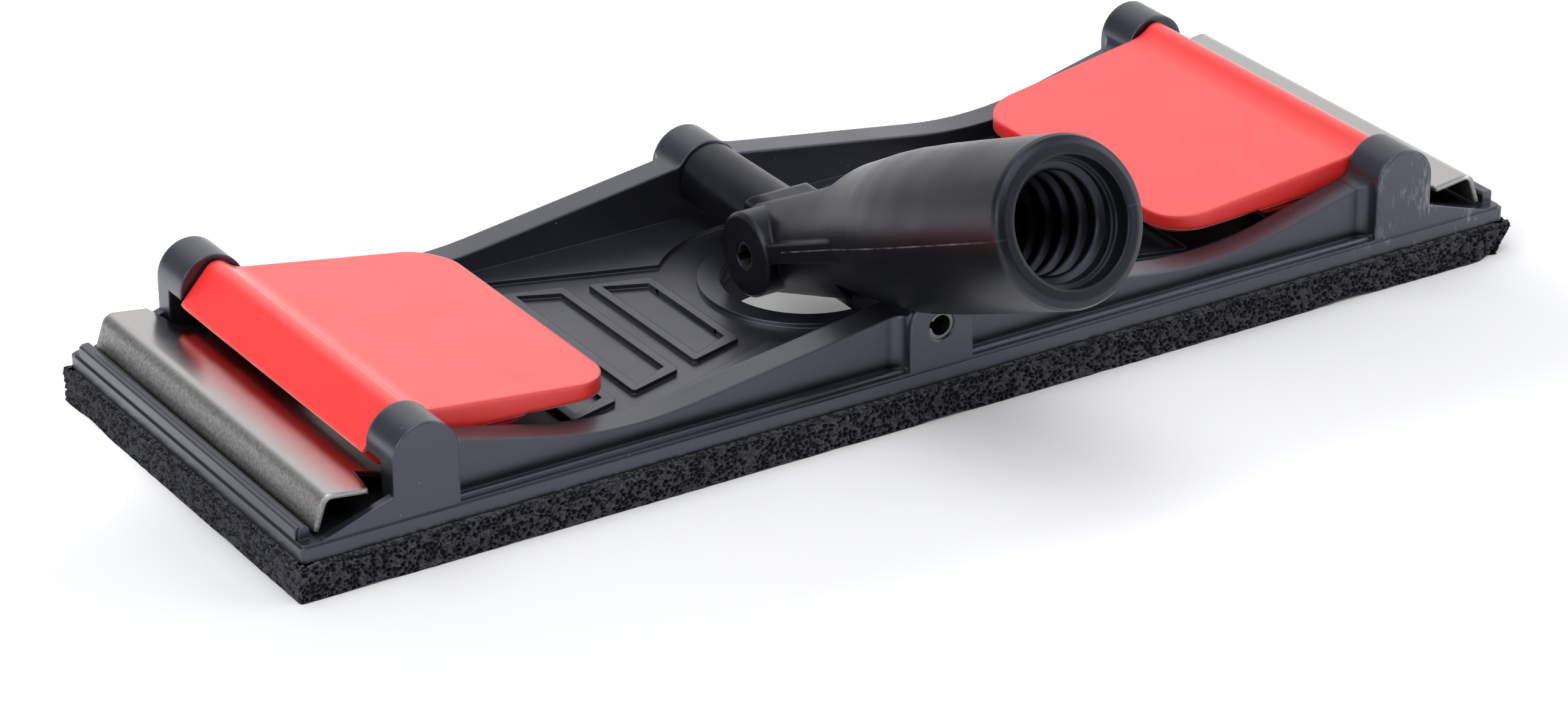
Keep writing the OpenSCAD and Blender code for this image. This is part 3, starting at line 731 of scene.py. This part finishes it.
def make_room():
    """A dim room with a white backdrop behind the tool, which ends short of overhead."""
    to_backdrop, to_camera = (0.8, 0.6, 0.0), (-0.25, -0.88, 0.4)
    world = bpy.data.worlds.new("white backdrop in a dim room")
    world.use_nodes = True
    bpy.context.scene.world = world
    tree = world.node_tree
    tree.nodes.clear()
    direction = add(tree, "ShaderNodeTexCoord").outputs["Generated"]
    height = add(tree, "ShaderNodeSeparateXYZ", {0: direction}).outputs["Z"]
    low = add(
        tree,
        "ShaderNodeMapRange",
        {"Value": height, "From Min": 0.95, "From Max": 0.7},
        interpolation_type="SMOOTHSTEP",
    )
    behind = add(tree, "ShaderNodeVectorMath", {0: direction, 1: to_backdrop}, operation="DOT_PRODUCT")
    back = add(
        tree,
        "ShaderNodeMapRange",
        {"Value": behind.outputs["Value"], "From Min": 0.1, "From Max": 0.65},
        interpolation_type="SMOOTHSTEP",
    )
    # the backdrop hangs behind the tool on the right
    hung = add(tree, "ShaderNodeMath", {0: low.outputs[0], 1: back.outputs[0]}, operation="MULTIPLY")
    # the room is dark where the camera stands
    camera_side = add(tree, "ShaderNodeVectorMath", {0: direction, 1: to_camera}, operation="DOT_PRODUCT")
    glow = add(
        tree,
        "ShaderNodeMapRange",
        {
            "Value": camera_side.outputs["Value"],
            "From Min": 0.7,
            "From Max": 0.92,
            "To Min": 0.28,
            "To Max": 0.05,
        },
        interpolation_type="SMOOTHSTEP",
    )
    room = add(tree, "ShaderNodeBackground", {"Color": srgb("#eef2ff"), "Strength": glow.outputs[0]})
    backdrop = add(tree, "ShaderNodeBackground", {"Color": srgb("#ffffff"), "Strength": 1.0})
    joined = add(
        tree, "ShaderNodeMixShader", {0: hung.outputs[0], 1: room.outputs[0], 2: backdrop.outputs[0]}
    )
    add(tree, "ShaderNodeOutputWorld", {"Surface": joined.outputs[0]})


def area_light(name, place, size, power):
    """Soft box aimed at the middle of the tool."""
    light = bpy.data.lights.new(name, "AREA")
    light.shape = "RECTANGLE"
    light.size, light.size_y = size
    light.energy = power
    obj = bpy.data.objects.new(name, light)
    bpy.context.scene.collection.objects.link(obj)
    obj.location = place
    obj.rotation_euler = (-Vector(place)).to_track_quat("-Z", "Y").to_euler()


def make_camera():
    """The photograph's camera, solved from the plate and the joint."""
    right = Vector((0.84336, -0.53734, -0.00222))
    up = Vector((0.23210, 0.36055, 0.90340))
    back = Vector((-0.48463, -0.76241, 0.42880))
    # place along those three directions, in millimetres
    rightward, upward, backward = -1.249, 2.629, 881.911
    # width of the photograph, focal length and offset of the lens, in pixels
    width, focal, offset_x, offset_y = 2576, 8530.665, -26.785, -69.95
    sensor = 36.0
    data = bpy.data.cameras.new("camera")
    data.sensor_fit = "HORIZONTAL"
    data.sensor_width = sensor
    data.lens = focal * sensor / width
    data.shift_x = offset_x / width
    data.shift_y = offset_y / width
    data.clip_start, data.clip_end = 0.05, 20.0
    camera = bpy.data.objects.new("camera", data)
    bpy.context.scene.collection.objects.link(camera)
    place = (back * backward + right * rightward + up * upward) * MM
    camera.matrix_world = Matrix(
        (
            (right.x, up.x, back.x, place.x),
            (right.y, up.y, back.y, place.y),
            (right.z, up.z, back.z, place.z),
            (0, 0, 0, 1),
        )
    )
    bpy.context.scene.camera = camera


# Build

PLATE_BLACK = plate_black()
JOINT_BLACK = joint_black()
RED = red_abs()
STAINLESS = brushed_stainless()
PIN_STEEL = spring_steel()
FOAM = open_cell_foam()

for node, material in (
    ("base_plate", PLATE_BLACK),
    ("clamp_lever_left", RED),
    ("clamp_lever_right", RED),
    ("clamp_plate_left", STAINLESS),
    ("clamp_plate_right", STAINLESS),
    ("yoke", JOINT_BLACK),
    ("pole_socket", JOINT_BLACK),
    ("axle_pin_front", PIN_STEEL),
    ("axle_pin_back", PIN_STEEL),
    ("fork_pin", PIN_STEEL),
    ("foam_pad", FOAM),
):
    dress(NODES[node], material)
smooth_facets(NODES["pole_socket"], math.radians(25))
for end in (-1, 1):
    make_rib(end, PLATE_BLACK)
    make_end_face(end, PLATE_BLACK)
make_foam(FOAM)
make_thread(JOINT_BLACK)

make_floor(white_paper())
make_room()
for name, place, size, power in (
    ("overhead softbox", (-0.25, 0.15, 1.0), (0.9, 0.6), 3.5),
    ("left softbox", (-1.1, -0.3, 0.6), (0.9, 0.6), 8.5),
    ("front softbox", (-0.1, -0.6, 1.15), (1.2, 0.8), 7.5),
    ("right softbox", (1.2, -0.75, 0.6), (1.0, 0.8), 7.5),
):
    area_light(name, place, size, power)
make_camera()
bpy.context.scene.view_settings.view_transform = "Standard"
